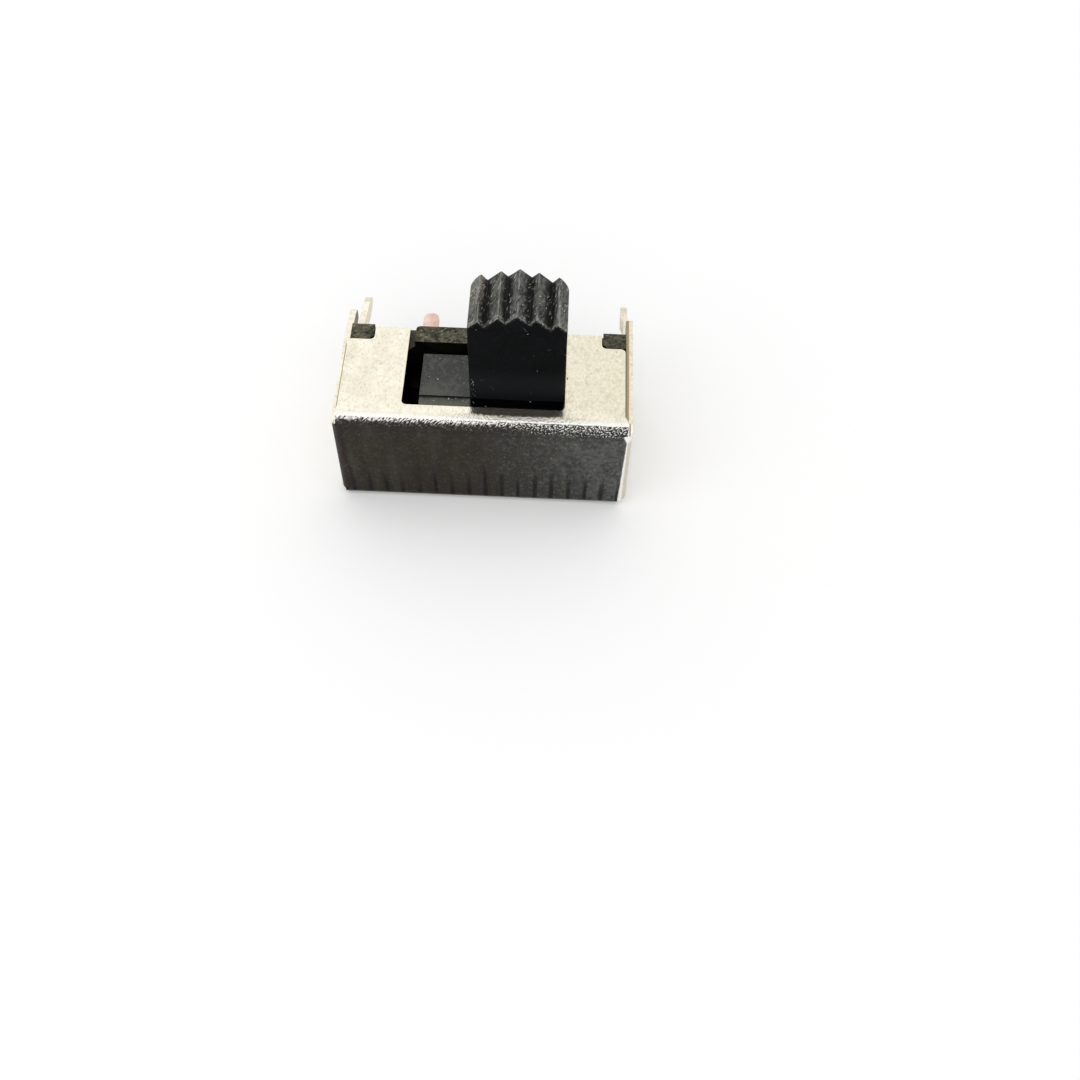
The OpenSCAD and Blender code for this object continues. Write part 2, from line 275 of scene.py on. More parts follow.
def wall_painted_reflection(tree, place, x, z, across, drop):
    """Front wall painted dark as a reflection of dark surroundings: soft smears at the left, mottled at the right,
    painted dark streaks along its foot.

    across goes from 0 at the left end to 1 at the right, drop is the way down from the top.
    """
    smear = noise(tree, turned(tree, place, scale=(1, 1, 0.15)), 1.6, 2, 0.5)
    mottle = noise(tree, place, 3.4, 3, 0.65)
    fine = noise(tree, turned(tree, place, scale=(1, 1, 0.6)), 7, 2, 0.7)
    patch = noise(tree, turned(tree, place, scale=(1, 1, 0.5)), 1.5, 2)
    # painted reflection, lighter to the right; painted shade darkest at the left end and under the bend
    dark = blend(tree, maths(tree, "POWER", across, 3.6), (0.037, 0.03, 0.02), (0.118, 0.122, 0.112))
    dark = blend(tree, step(tree, x, 1 - WALL_X, 0.2 - WALL_X, 0, 0.9), dark, (0.02, 0.008, 0.006))
    dark = blend(tree, step(tree, drop, 1.3, 0.6, 0, 0.6), dark, (0.026, 0.023, 0.021))
    dark = blend(tree, step(tree, smear, 0.5, 0.3, 0, 0.35), dark, (0.022, 0.02, 0.017))
    dark = blend(tree, step(tree, smear, 0.5, 0.7, 0, 0.25), dark, (0.09, 0.085, 0.07))
    # mottling, stronger to the right
    uneven = step(tree, across, 0.4, 0.9, 0.2, 0.95)
    dark = blend(tree, times(tree, step(tree, patch, 0.52, 0.38), times(tree, uneven, 0.6)), dark, (0.05, 0.051, 0.052))
    dark = blend(tree, times(tree, step(tree, mottle, 0.5, 0.34), times(tree, uneven, 0.8)), dark, (0.04, 0.041, 0.038))
    dark = blend(tree, times(tree, step(tree, mottle, 0.5, 0.72), uneven), dark, (0.14, 0.143, 0.136))
    dark = blend(tree, times(tree, step(tree, fine, 0.54, 0.72), times(tree, uneven, 0.7)), dark, (0.2, 0.2, 0.18))
    # one dark streak to a millimetre as painted reflection, each as high as it happens to reach, and a pale foot
    lines = maths(tree, "SINE", plus(tree, times(tree, x, 2 * math.pi), times(tree, smear, 1.6)))
    reach = times(tree, noise(tree, turned(tree, place, scale=(1, 1, 0.3)), 0.9), 5.0)
    lines = times(tree, step(tree, lines, 0.45, 1.0), step(tree, minus(tree, z, reach), 0.9, -1.5))
    dark = blend(tree, times(tree, lines, 0.9), dark, (0.012, 0.011, 0.01))
    foot = times(tree, step(tree, z, 0.4, 0.3), step(tree, mottle, 0.4, 0.6, 0.2, 0.6))
    dark = blend(tree, foot, dark, (0.13, 0.12, 0.1))
    # light nicks
    nicks = either(tree, spots(tree, place, 2.4, step(tree, across, 0.3, 1, 0.06, 0.3), 0.03, 0.13),
                   scratches(tree, place, (0, 28, 90), 0.35, 0.025, 0.02))
    return blend(tree, times(tree, nicks, 0.5), dark, (0.55, 0.54, 0.48))


def plated_steel():
    """Satin plate on folded sheet: pale faces, a crazed front bend with painted highlights and reflections, a front
    wall painted dark as a reflection.
    """
    finish, tree, shader = new_finish("plated_steel", Metallic=0.95)
    place = place_in_mm(tree)
    x, y, z = apart(tree, place)
    across = step(tree, x, -8, 9)
    side = maths(tree, "ABSOLUTE", x)
    depth = minus(tree, y, FRONT_Y)
    drop = minus(tree, FACE_Z, z)
    skin = turned(tree, place, scale=(1, 0.65, 0.8))
    grain = noise(tree, skin, 7, 3, 0.7)
    pale, pits = pale_plate(tree, skin, x, depth, grain)
    pale = end_shade_and_glint_paint(tree, pale, x, side, depth, drop)
    dark = wall_painted_reflection(tree, place, x, z, across, drop)

    # crazed plate on the front bend: slanting strokes at the left, crumbs at the right, its light facets painted
    # highlight and its dark cracks painted reflection. fold is the way round the bend
    fold = minus(tree, drop, depth)
    bend = add(tree, "ShaderNodeCombineXYZ", {0: x, 1: fold}).outputs[0]
    wobble = swing(tree, noise(tree, bend, 1.8, 2), 0.16)
    start = plus(tree, step(tree, across, 0, 1, -0.31, -0.34), wobble)
    end = plus(tree, step(tree, across, 0, 1, 0.36, 0.55), wobble)
    down = step(tree, fold, start, end)
    strokes = noise(tree, turned(tree, bend, (0, 0, 54), (0.3, 1, 1)), 12.5, 2, 0.6)
    crumbs = noise(tree, turned(tree, bend, (0, 0, 35), (0.8, 1, 1)), 11, 2, 0.6)
    cracks = between(tree, step(tree, across, 0.35, 0.85), strokes, crumbs)
    bar = plus(tree, times(tree, down, step(tree, across, 0.2, 0.9, 0.13, 0.06)), 0.42)
    bar = plus(tree, bar, step(tree, across, 0.3, 0.9, 0, 0.055))
    cracks = step(tree, cracks, plus(tree, bar, 0.03), plus(tree, bar, 0.09))
    dim = times(tree, step(tree, down, 0.15, 0.7), step(tree, x, 0.5, 5, 1, 0))
    lit = blend(tree, dim, (1.0, 0.985, 0.93), (0.26, 0.205, 0.185))
    crazed = blend(tree, cracks, (0.036, 0.034, 0.031), lit)

    # where the front begins and ends to each side, notched at the right under the folded face
    edge = step(tree, drop, 0.3, 0.7, 0.3 - WALL_X, 0.01 - WALL_X)
    left = step(tree, minus(tree, x, edge), -0.015, 0.015)
    notch = times(tree, step(tree, drop, 0.42, 0.5), step(tree, drop, 1.2, 0.5, 0, 0.2))
    edge = plus(tree, times(tree, z, 0.03), BEND_X)
    edge = plus(tree, minus(tree, edge, notch), times(tree, wobble, 0.6))
    right = step(tree, minus(tree, x, edge), 0.04, -0.04)
    front = times(tree, left, right, step(tree, depth, 0.85, 0.75))

    # colours in turn: pale plate, its painted highlight line before the bend, crazed bend, wall painted dark as a
    # reflection
    line = step(tree, minus(tree, start, fold), 0.5, 0.1)
    line = times(tree, line, step(tree, side, WALL_X - 0.2, WALL_X - 0.3))
    colour = blend(tree, line, pale, (1.0, 0.995, 0.94))
    on_bend = times(tree, front, step(tree, minus(tree, fold, start), -0.03, 0.03))
    colour = blend(tree, on_bend, colour, crazed)
    off_bend = times(tree, front, step(tree, minus(tree, fold, end), -0.04, 0.12))
    colour = blend(tree, off_bend, colour, dark)

    # polish and relief
    rough = step(tree, grain, 0.3, 0.7, 0.1, 0.17)
    rough = plus(tree, rough, times(tree, off_bend, step(tree, x, 0.6 - WALL_X, 0.2 - WALL_X, 0, 0.4)))
    height = minus(tree, times(tree, grain, 0.6), pits)
    height = plus(tree, height, times(tree, cracks, on_bend, 1.5))
    # the face rolls off gently, and unevenly, before its bend
    roll = plus(tree, depth, swing(tree, grain, 0.3))
    roll = times(tree, step(tree, roll, 0.33, 0.9), step(tree, drop, 0.4, 0.3))
    height = plus(tree, height, times(tree, roll, ROLL_RELIEF))
    link_surface(tree, shader, colour, rough, height, 0.005)
    return finish


def inner_plating_painted_shade():
    """The sheet's inner side: painted brown shade, mottled, and pale on the two legs, which lie in the open."""
    finish, tree, shader = new_finish("inner_plating_painted_shade", Metallic=1.0)
    place = place_in_mm(tree)
    _, y, z = apart(tree, place)
    stain = noise(tree, place, 1.2, 4, 0.65)
    # painted shade: brown over most of the inner side
    colour = blend(tree, step(tree, stain, 0.35, 0.65), (0.1, 0.06, 0.042), (0.2, 0.145, 0.105))
    pale = blend(tree, step(tree, stain, 0.35, 0.65), (0.92, 0.85, 0.72), (0.8, 0.73, 0.6))
    leg = times(tree, band(tree, z, FACE_Z / 2, 1.5, 1.2), step(tree, y, BASE_Y - 0.1, BASE_Y + 0.3))
    colour = blend(tree, leg, colour, pale)
    link_surface(tree, shader, colour, step(tree, stain, 0.3, 0.7, 0.3, 0.45), stain, 0.004)
    return finish


def shaded_edge():
    """Brown shade along the cut edges of the folded faces."""
    finish, tree, shader = new_finish("shaded_edge", Metallic=1.0)
    place = place_in_mm(tree)
    stain = noise(tree, place, 3, 3, 0.6)
    colour = blend(tree, step(tree, stain, 0.35, 0.65), (0.22, 0.165, 0.1), (0.5, 0.4, 0.27))
    link_surface(tree, shader, colour, step(tree, stain, 0.3, 0.7, 0.4, 0.55), stain, 0.004)
    return finish


def moulded_base():
    """Dark olive moulding with a rough, flaked and mottled skin."""
    finish, tree, shader = new_finish("moulded_base", Specular_IOR_Level=0.25)
    place = place_in_mm(tree)
    x, _, z = apart(tree, place)
    mottle = noise(tree, place, 1.8, 4, 0.65, 0.6)
    flakes = noise(tree, turned(tree, place, (0, 0, -35), (0.6, 1, 1)), 6, 3, 0.7, 0.5)
    scuffs = scratches(tree, place, (20, 10, -35), 0.35, 0.045, 0.35)
    colour = blend(tree, step(tree, mottle, 0.36, 0.64), (0.014, 0.0135, 0.007), (0.12, 0.113, 0.065))
    colour = blend(tree, step(tree, flakes, 0.5, 0.36, 0, 0.8), colour, (0.012, 0.0115, 0.006))
    colour = blend(tree, step(tree, flakes, 0.52, 0.68, 0, 0.7), colour, (0.26, 0.245, 0.155))
    colour = blend(tree, times(tree, scuffs, 0.7), colour, (0.45, 0.43, 0.31))
    # pale grit, a darker upper rim and a browner right end
    grit = spots(tree, place, 2.2, 0.2, 0.05, 0.16)
    colour = blend(tree, times(tree, grit, 0.8), colour, (0.7, 0.69, 0.56))
    colour = blend(tree, step(tree, z, FACE_Z - 0.25, FACE_Z - 0.4, 0, 0.55), colour, (0.03, 0.024, 0.013))
    colour = blend(tree, step(tree, x, 5, 7, 0, 0.22), colour, (0.07, 0.06, 0.035))
    rough = step(tree, mottle, 0.3, 0.7, 0.62, 0.42)
    height = plus(tree, mottle, times(tree, flakes, 0.7))
    link_surface(tree, shader, colour, rough, height, 0.04)
    return finish


def hollow_painted_shade():
    """Inside of the base: painted near-black shade with faint smears."""
    finish, tree, shader = new_finish("hollow_painted_shade", Specular_IOR_Level=0.15)
    place = place_in_mm(tree)
    smear = noise(tree, place, 1.5, 4, 0.6)
    colour = blend(tree, step(tree, smear, 0.4, 0.7), (0.0015, 0.0017, 0.0007), (0.007, 0.0075, 0.003))
    link_surface(tree, shader, colour, step(tree, smear, 0.3, 0.7, 0.5, 0.7), smear, 0.02)
    return finish


def copper_strip():
    """Stamped copper strip, dull and a little tarnished."""
    finish, tree, shader = new_finish("copper_strip", Metallic=1.0)
    place = place_in_mm(tree)
    _, y, _ = apart(tree, place)
    drawn = noise(tree, turned(tree, place, scale=(1, 0.1, 1)), 9, 3, 0.6)
    stain = noise(tree, place, 1.1, 3)
    colour = blend(tree, step(tree, stain, 0.4, 0.7), (0.86, 0.68, 0.6), (0.66, 0.42, 0.34))
    colour = blend(tree, step(tree, drawn, 0.4, 0.8, 0, 0.5), colour, (0.86, 0.72, 0.64))
    # hardly any light reaches its inner end
    colour = blend(tree, step(tree, y, BASE_Y - 0.6, BASE_Y - 1.0), colour, (0.006, 0.004, 0.003))
    link_surface(tree, shader, colour, step(tree, drawn, 0.3, 0.7, 0.3, 0.45), drawn, 0.004)
    return finish


def spring_bronze():
    """Plain bronze strip, drawn along its length."""
    finish, tree, shader = new_finish("spring_bronze", Metallic=1.0)
    place = place_in_mm(tree)
    drawn = noise(tree, turned(tree, place, scale=(0.1, 1, 1)), 8, 3, 0.6)
    colour = blend(tree, step(tree, drawn, 0.3, 0.7), (0.72, 0.5, 0.24), (0.86, 0.66, 0.38))
    link_surface(tree, shader, colour, step(tree, drawn, 0.3, 0.7, 0.25, 0.4), drawn, 0.003)
    return finish


def along_ridges(tree, x, column):
    """A column of RIDGES at a place across the knob. FALL comes as a share of DEEPEST."""
    from_middle = maths(tree, "DIVIDE", maths(tree, "ABSOLUTE", minus(tree, x, KNOB_X)), KNOB_HALF)
    curve = add(tree, "ShaderNodeValToRGB", {0: from_middle})
    ramp = curve.color_ramp
    while len(ramp.elements) < len(RIDGES):
        ramp.elements.new(0.5)
    for element, row in zip(ramp.elements, RIDGES):
        value = row[column] / DEEPEST if column == FALL else row[column]
        element.position = row[0]
        element.color = (value, value, value, 1)
    return curve.outputs[0]


def black_moulding():
    """Smooth black sides of the knob, with hairline scratches and a torn upper rim."""
    finish, tree, shader = new_finish("black_moulding", Specular_IOR_Level=0.05)
    place = place_in_mm(tree)
    x, _, z = apart(tree, place)
    cloud = noise(tree, place, 0.6, 3)
    skin = noise(tree, place, 7, 2, 0.6)
    hair = either(tree, scratches(tree, place, (90, 0, -55), 0.5, 0.025, 0.06),
                  scratches(tree, place, (90, 0, 20), 0.3, 0.02, 0.02))
    colour = blend(tree, step(tree, cloud, 0.35, 0.7), (0.0012, 0.0015, 0.002), (0.0036, 0.0042, 0.005))
    colour = blend(tree, step(tree, skin, 0.5, 0.8, 0, 0.5), colour, (0.012, 0.0125, 0.0135))
    # painted light: lighter towards the foot, as if lit from the pale face below
    colour = blend(tree, step(tree, z, FACE_Z + 2.4, FACE_Z + 0.2, 0, 0.75), colour, (0.02, 0.0215, 0.0235))
    # torn rim just below the ridges, more of it to the right
    below = minus(tree, minus(tree, KNOB_TOP, z), times(tree, along_ridges(tree, x, FALL), DEEPEST))
    rim = times(tree, step(tree, below, 0.2, 0.02), step(tree, noise(tree, place, 6.5, 3, 0.7), 0.47, 0.6))
    rim = times(tree, rim, step(tree, x, KNOB_X - 1.2, KNOB_X + 0.5, 0.25, 0.9))
    colour = blend(tree, rim, colour, (0.13, 0.14, 0.14))
    colour = blend(tree, times(tree, hair, 0.65), colour, (0.2, 0.2, 0.2))
    height = minus(tree, times(tree, skin, 0.4), hair)
    link_surface(tree, shader, colour, step(tree, cloud, 0.3, 0.7, 0.42, 0.55), height, 0.004)
    return finish


def scuffed_ridges():
    """Worn top of the knob: greyed flanks, black valleys, slanting tears and a ragged front rim."""
    finish, tree, shader = new_finish("scuffed_ridges", Specular_IOR_Level=0.3)
    place = place_in_mm(tree)
    x, y, _ = apart(tree, place)
    worn = along_ridges(tree, x, WEAR)
    behind = minus(tree, y, KNOB_FRONT)
    torn = noise(tree, turned(tree, place, (0, 0, -62), (0.25, 1, 1)), 6.5, 4, 0.85)
    cloud = noise(tree, place, 0.9, 3)
    # grey flanks with slanting tears, some of them bright
    flank = step(tree, worn, 0.1, 0.62)
    tone = plus(tree, torn, swing(tree, flank, 0.2, 0.88))
    tone = plus(tree, tone, swing(tree, cloud, 0.25))
    tears = either(tree, scratches(tree, place, (0, 0, -62), 0.4, 0.055, 0.6),
                   scratches(tree, place, (0, 0, -50), 0.35, 0.05, 0.4))
    tears = times(tree, tears, step(tree, worn, 0, 0.6, 0.5, 1))
    bright = scratches(tree, place, (0, 0, -56), 0.4, 0.045, 0.22)
    colour = blend(tree, step(tree, tone, 0.4, 0.62), (0.003, 0.003, 0.0025), (0.125, 0.125, 0.111))
    colour = blend(tree, times(tree, tears, 0.9), colour, (0.32, 0.315, 0.285))
    colour = blend(tree, times(tree, bright, 0.85), colour, (0.66, 0.65, 0.58))
    # rubbed lines along the crests and the ragged front rim
    crest = noise(tree, turned(tree, place, scale=(1, 0.12, 1)), 5, 3, 0.8)
    crest = times(tree, step(tree, worn, 0.86, 0.98), step(tree, crest, 0.44, 0.62))
    colour = blend(tree, times(tree, crest, 0.7), colour, (0.34, 0.335, 0.31))
    uneven = noise(tree, place, 5, 3, 0.7)
    ragged = times(tree, step(tree, behind, 0.3, 0.03), step(tree, uneven, 0.44, 0.56))
    colour = blend(tree, times(tree, ragged, 0.7), colour, (0.3, 0.3, 0.27))
    # a thin line just behind the front rim, and a tan patch at the back left
    mark = minus(tree, behind, times(tree, uneven, 0.1))
    mark = times(tree, band(tree, mark, 0.24, 0.035, 0.012), step(tree, worn, 0.1, 0.4),
                 step(tree, x, KNOB_X + 1.2, KNOB_X + 0.6), step(tree, noise(tree, place, 1.6, 2), 0.42, 0.55))
    colour = blend(tree, times(tree, mark, 0.85), colour, (0.46, 0.45, 0.4))
    tan = times(tree, step(tree, x, KNOB_X - 1.6, KNOB_X - 2.3), step(tree, behind, 1.6, 2.2),
                step(tree, noise(tree, place, 5, 3, 0.7, 1.0), 0.52, 0.6))
    colour = blend(tree, times(tree, tan, 0.8), colour, (0.4, 0.34, 0.26))
    height = plus(tree, torn, times(tree, tears, 0.6))
    link_surface(tree, shader, colour, step(tree, torn, 0.3, 0.7, 0.38, 0.55), height, 0.03)
    return finish


def torn_edge():
    """Light, ragged wear where the ridges end."""
    finish, tree, shader = new_finish("torn_edge", Specular_IOR_Level=0.35)
    place = place_in_mm(tree)
    ragged = noise(tree, place, 6, 3, 0.7)
    colour = blend(tree, step(tree, ragged, 0.42, 0.6), (0.012, 0.012, 0.012), (0.3, 0.295, 0.28))
    link_surface(tree, shader, colour, step(tree, ragged, 0.3, 0.7, 0.4, 0.6), ragged, 0.02)
    return finish


def slider_plate():
    """Dull dark grey top of the sliding block, rubbed and mottled, polished just before the knob and painted black
    there as the knob's shadow and reflection.
    """
    finish, tree, shader = new_finish("slider_plate", Specular_IOR_Level=0.5)
    place = place_in_mm(tree)
    x, y, _ = apart(tree, place)
    cloud = noise(tree, turned(tree, place, scale=(1, 0.6, 1)), 3.2, 3, 0.6)
    grain = noise(tree, place, 7, 2, 0.65)
    front = minus(tree, KNOB_FRONT, y)  # the way forward from the knob
    level = step(tree, front, -2.4, 0.2)
    colour = blend(tree, level, (0.012, 0.0125, 0.009), (0.053, 0.0535, 0.041))
    colour = blend(tree, step(tree, cloud, 0.5, 0.42, 0, 0.65), colour, (0.012, 0.0125, 0.01))
    colour = blend(tree, step(tree, cloud, 0.52, 0.62, 0, 0.6), colour, (0.074, 0.073, 0.06))
    colour = blend(tree, step(tree, grain, 0.5, 0.72, 0, 0.5), colour, (0.11, 0.108, 0.09))
    colour = blend(tree, step(tree, front, 0.1, 0.5, 0, 0.65), colour, (0.12, 0.118, 0.075))
    # painted shadow and reflection of the knob: black and polished right before it
    polish_and_painted_knob_shade = times(tree, band(tree, x, KNOB_X, KNOB_HALF + 0.1, KNOB_HALF - 0.1),
                  step(tree, y, KNOB_FRONT + 0.2, KNOB_FRONT))
    colour = blend(tree, polish_and_painted_knob_shade, colour, (0.0006, 0.0006, 0.0006))
    rough = step(tree, cloud, 0.3, 0.7, 0.22, 0.32)
    link_surface(tree, shader, colour, between(tree, polish_and_painted_knob_shade, rough, 0.1), grain, 0.006)
    return finish


def grey_dust():
    """Dull grey, from dark to pale."""
    finish, tree, shader = new_finish("grey_dust", Roughness=0.9, Specular_IOR_Level=0.1)
    place = place_in_mm(tree)
    lint = noise(tree, place, 3, 2)
    colour = blend(tree, step(tree, lint, 0.35, 0.65), (0.26, 0.255, 0.24), (0.75, 0.74, 0.7))
    tree.links.new(colour, shader.inputs["Base Color"])
    return finish


# ---- Pieces ----

def show(name, data):
    """A new object with this mesh, lamp or camera, in the scene."""
    made = bpy.data.objects.new(name, data)
    bpy.context.scene.collection.objects.link(made)
    return made


def applied(mesh, name, kind, **settings):
    """A mesh with a modifier applied, and the object that it was applied on taken away."""
    holder = show(name, mesh)
    modifier = holder.modifiers.new(name, kind)
    for key, value in settings.items():
        if hasattr(modifier, key):
            setattr(modifier, key, value)
        else:
            modifier[key] = value
    made = bpy.data.meshes.new_from_object(holder.evaluated_get(bpy.context.evaluated_depsgraph_get()))
    holder.modifiers.clear()
    bpy.data.objects.remove(holder)
    return made


def softened(node, radius, finishes, pick=None):
    """A CAD node's mesh with its facets made whole, its sharp edges rounded, and a finish on each face."""
    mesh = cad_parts[node].data.copy()
    mesh.materials.clear()
    shape = bmesh.new()
    shape.from_mesh(mesh)
    bmesh.ops.remove_doubles(shape, verts=shape.verts, dist=SAME_PLACE * MM)
    bmesh.ops.dissolve_limit(shape, angle_limit=math.radians(FLAT), verts=shape.verts, edges=shape.edges)
    sharp = [e for e in shape.edges if len(e.link_faces) == 2 and e.calc_face_angle(0) > math.radians(SHARP)]
    rounded = bmesh.ops.bevel(shape, geom=sharp, offset=radius * MM, offset_type="OFFSET", segments=2,
                              profile=0.5, affect="EDGES", clamp_overlap=True)
    on_edge = set(rounded["faces"])
    for face in shape.faces:
        face.smooth = True
        face.material_index = pick(face, face in on_edge) if pick else 0
    shape.to_mesh(mesh)
    shape.free()
    mesh.set_sharp_from_angle(angle=math.radians(SHARP))
    for finish in finishes:
        mesh.materials.append(finish)
    return applied(mesh, "even_shading", "WEIGHTED_NORMAL", mode="FACE_AREA", weight=80, keep_sharp=True)


def stand_for(piece, body, record_slot, *nodes):
    """Puts a piece on its body, and in place of its CAD nodes. Its slot is not used."""
    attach(piece, body)
    if nodes:
        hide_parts(*nodes)


def shell_zone(face, on_edge):
    """Cut edges of the folded faces, the sheet's inner side, or its outside."""
    middle = face.calc_center_median() / MM
    side, up = abs(middle.x), face.normal.z
    outward = face.normal.x if middle.x > 0 else -face.normal.x
    if on_edge and middle.z > FACE_Z - 0.3 and side > WALL_X - 0.6 and middle.y > FRONT_Y + 0.45:
        return CUT_EDGE
    if side > WALL_X - 0.8 and outward < -0.6:
        return INNER_SIDE
    if (middle.z > FACE_Z / 2) != (up > 0) and abs(up) > 0.6 and min(middle.z, FACE_Z - middle.z) < 0.6:
        return INNER_SIDE if side < WALL_X - 0.45 else OUTSIDE
    if face.normal.y > 0.6 and middle.y < FRONT_Y + 0.6:
        return INNER_SIDE
    return OUTSIDE


def base_zone(face, _):
    """The hollow, or what shows from outside."""
    middle = face.calc_center_median() / MM
    if face.normal.y < -0.4:
        return HOLLOW
    if middle.y < BASE_Y - 1.3:
        if middle.z < FACE_Z - 1 and face.normal.z > 0.5:
            return HOLLOW
        if abs(middle.x) < WALL_X - 0.7 and abs(face.normal.x) > 0.6:
            return HOLLOW
    return SEEN


def slider_zone(face, on_edge):
    """Torn edges of the ridges, the ridged top, the top of the sliding block, or a black side."""
    height = face.calc_center_median().z / MM
    if height > KNOB_TOP - 1.1 and on_edge and abs(face.normal.y) > 0.15:
        return TORN_EDGE
    if height > KNOB_TOP - 1.25 and face.normal.z > 0.3:
        return RIDGED_TOP
    if height < FACE_Z and face.normal.z > 0.7:
        return PLATE
    return BLACK_SIDE


def part_of(mesh, wanted):
    """The faces of a mesh for which wanted() is true, as a mesh of their own."""
    patch = mesh.copy()
    shape = bmesh.new()
    shape.from_mesh(patch)
    bmesh.ops.delete(shape, geom=[f for f in shape.faces if not wanted(f)], context="FACES")
    shape.to_mesh(patch)
    shape.free()
    return patch


# ---- Recipes that repeat a shape ----

def new_recipe(name, **sizes):
    """A geometry tree with its named inputs, its way in and its way out."""
    tree = bpy.data.node_groups.new(name, "GeometryNodeTree")
    tree.interface.new_socket("Geometry", in_out="INPUT", socket_type="NodeSocketGeometry")
    for key, kind in sizes.items():
        tree.interface.new_socket(key, in_out="INPUT", socket_type=f"NodeSocket{kind}")
    tree.interface.new_socket("Geometry", in_out="OUTPUT", socket_type="NodeSocketGeometry")
    return tree, tree.nodes.new("NodeGroupInput").outputs, tree.nodes.new("NodeGroupOutput").inputs


def follow(tree, mesh, name, **sizes):
    """The recipe's result on a mesh, as a plain piece."""
    inputs = {item.identifier: sizes[item.name] for item in tree.interface.items_tree
              if item.in_out == "INPUT" and item.name in sizes}
    return show(name, applied(mesh, name + "_seed", "NODES", node_group=tree, **inputs))


def close_recipe(tree, shape, finish, out):
    """The end of every recipe: real shapes with their finish."""
    real = add(tree, "GeometryNodeRealizeInstances", {"Geometry": shape}).outputs[0]
    painted = add(tree, "GeometryNodeSetMaterial", {"Geometry": real, "Material": finish}).outputs[0]
    tree.links.new(painted, out[0])
    return tree


def random_vector(tree, least, most, seed):
    return add(tree, "FunctionNodeRandomValue", {0: least, 1: most, "Seed": seed}, data_type="FLOAT_VECTOR").outputs[0]


def pin_rows(finish):
    """One pin repeated along X and then up Z."""
    tree, given, out = new_recipe("pin_rows", Pitch="Float", Row_gap="Float")
    shape = given["Geometry"]
    for count, way, gap in ((len(PIN_PLACES), "X", given["Pitch"]), (len(PIN_ROWS), "Z", given["Row_gap"])):
        offset = add(tree, "ShaderNodeCombineXYZ", {way: gap}).outputs[0]
        line = add(tree, "GeometryNodeMeshLine", {"Count": count, "Offset": offset})
        shape = add(tree, "GeometryNodeInstanceOnPoints", {"Points": line.outputs[0], "Instance": shape}).outputs[0]
    return close_recipe(tree, shape, finish, out)


def scattered_specks(finish):
    """Small uneven grains strewn over a surface."""
    tree, given, out = new_recipe("scattered_specks", Per_area="Float", Size="Float", Seed="Int")
    points = add(tree, "GeometryNodeDistributePointsOnFaces", {
        "Mesh": given["Geometry"], "Density": given["Per_area"], "Seed": given["Seed"]})
    grain = add(tree, "GeometryNodeMeshIcoSphere", {"Radius": given["Size"], "Subdivisions": 1})
    strewn = add(tree, "GeometryNodeInstanceOnPoints", {
        "Points": points.outputs[0], "Instance": grain.outputs[0],
        "Rotation": random_vector(tree, (0, 0, 0), (6.3, 6.3, 6.3), 3),
        "Scale": random_vector(tree, (0.25, 0.3, 0.25), (1, 1.6, 0.8), 4)})
    return close_recipe(tree, strewn.outputs[0], finish, out)


def torn_slivers(finish):
    """Thin slivers lying on a surface, all about one way."""
    tree, given, out = new_recipe("torn_slivers", Per_area="Float", Length="Float", Width="Float",
                                  Way="Vector", Seed="Int")
    points = add(tree, "GeometryNodeDistributePointsOnFaces", {
        "Mesh": given["Geometry"], "Density": given["Per_area"], "Seed": given["Seed"]})
    up = points.outputs["Normal"]

    def vectors(operation, a, b):
        return add(tree, "ShaderNodeVectorMath", {0: a, 1: b}, operation=operation).outputs

    # each one strays from the way, lies down on the surface and lifts its tip a little
    way = vectors("ADD", given["Way"], random_vector(tree, (-0.4, -0.4, -0.1), (0.4, 0.4, 0.1), 5))[0]
    rise = minus(tree, vectors("DOT_PRODUCT", way, up)["Value"], 0.06)
    off = add(tree, "ShaderNodeVectorMath", {0: up, "Scale": rise}, operation="SCALE").outputs[0]
    along = vectors("SUBTRACT", way, off)[0]
    turn = add(tree, "FunctionNodeAlignRotationToVector", {"Vector": along}, axis="Z").outputs[0]
    sliver = add(tree, "GeometryNodeMeshCone", {
        "Vertices": 4, "Radius Top": 0.0, "Radius Bottom": given["Width"], "Depth": given["Length"]})
    strewn = add(tree, "GeometryNodeInstanceOnPoints", {
        "Points": points.outputs[0], "Instance": sliver.outputs[0], "Rotation": turn,
        "Scale": random_vector(tree, (0.4, 0.4, 0.3), (1, 1, 1), 6)})
    return close_recipe(tree, strewn.outputs[0], finish, out)


# ---- The pieces themselves ----

sheet = [plated_steel(), inner_plating_painted_shade(), shaded_edge()]
shell = show("shell_folded", softened("shell", SHELL_EDGE, sheet, shell_zone))
stand_for(shell, HOUSING, "shell_steel", "shell")
base = show("base_moulded", softened("base", BASE_EDGE, [moulded_base(), hollow_painted_shade()], base_zone))
stand_for(base, HOUSING, "base_moulding", "base")
moulding = [black_moulding(), scuffed_ridges(), slider_plate(), torn_edge()]
slider = show("slider_moulded", softened("slider", SLIDER_EDGE, moulding, slider_zone))
stand_for(slider, SLIDER_UNIT, "slider_plastic", "slider")

copper = copper_strip()
first, beside, above = (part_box(f"terminal_{place}")[0] for place in ("lower_left", "lower_centre", "upper_left"))
pins = follow(pin_rows(copper), softened("terminal_lower_left", PIN_EDGE, [copper]), "pins_stamped",
              Pitch=beside.x - first.x, Row_gap=above.z - first.z)
stand_for(pins, HOUSING, "terminal_copper", *[f"terminal_{row}_{side}" for row in PIN_ROWS for side in PIN_PLACES])

bronze = spring_bronze()
for row in ("upper", "lower"):
    clip = show(f"contact_clip_{row}", softened(f"clip_{row}", CLIP_EDGE, [bronze]))
    stand_for(clip, SLIDER_UNIT, "clip_bronze", f"clip_{row}")


# ---- Dust, lint and slivers on the sliding block and its knob ----

def wide(face, zone):
    """A face of that zone with over 0.3 square millimetres."""
    return face.material_index == zone and face.calc_area() > 0.3 * MM ** 2


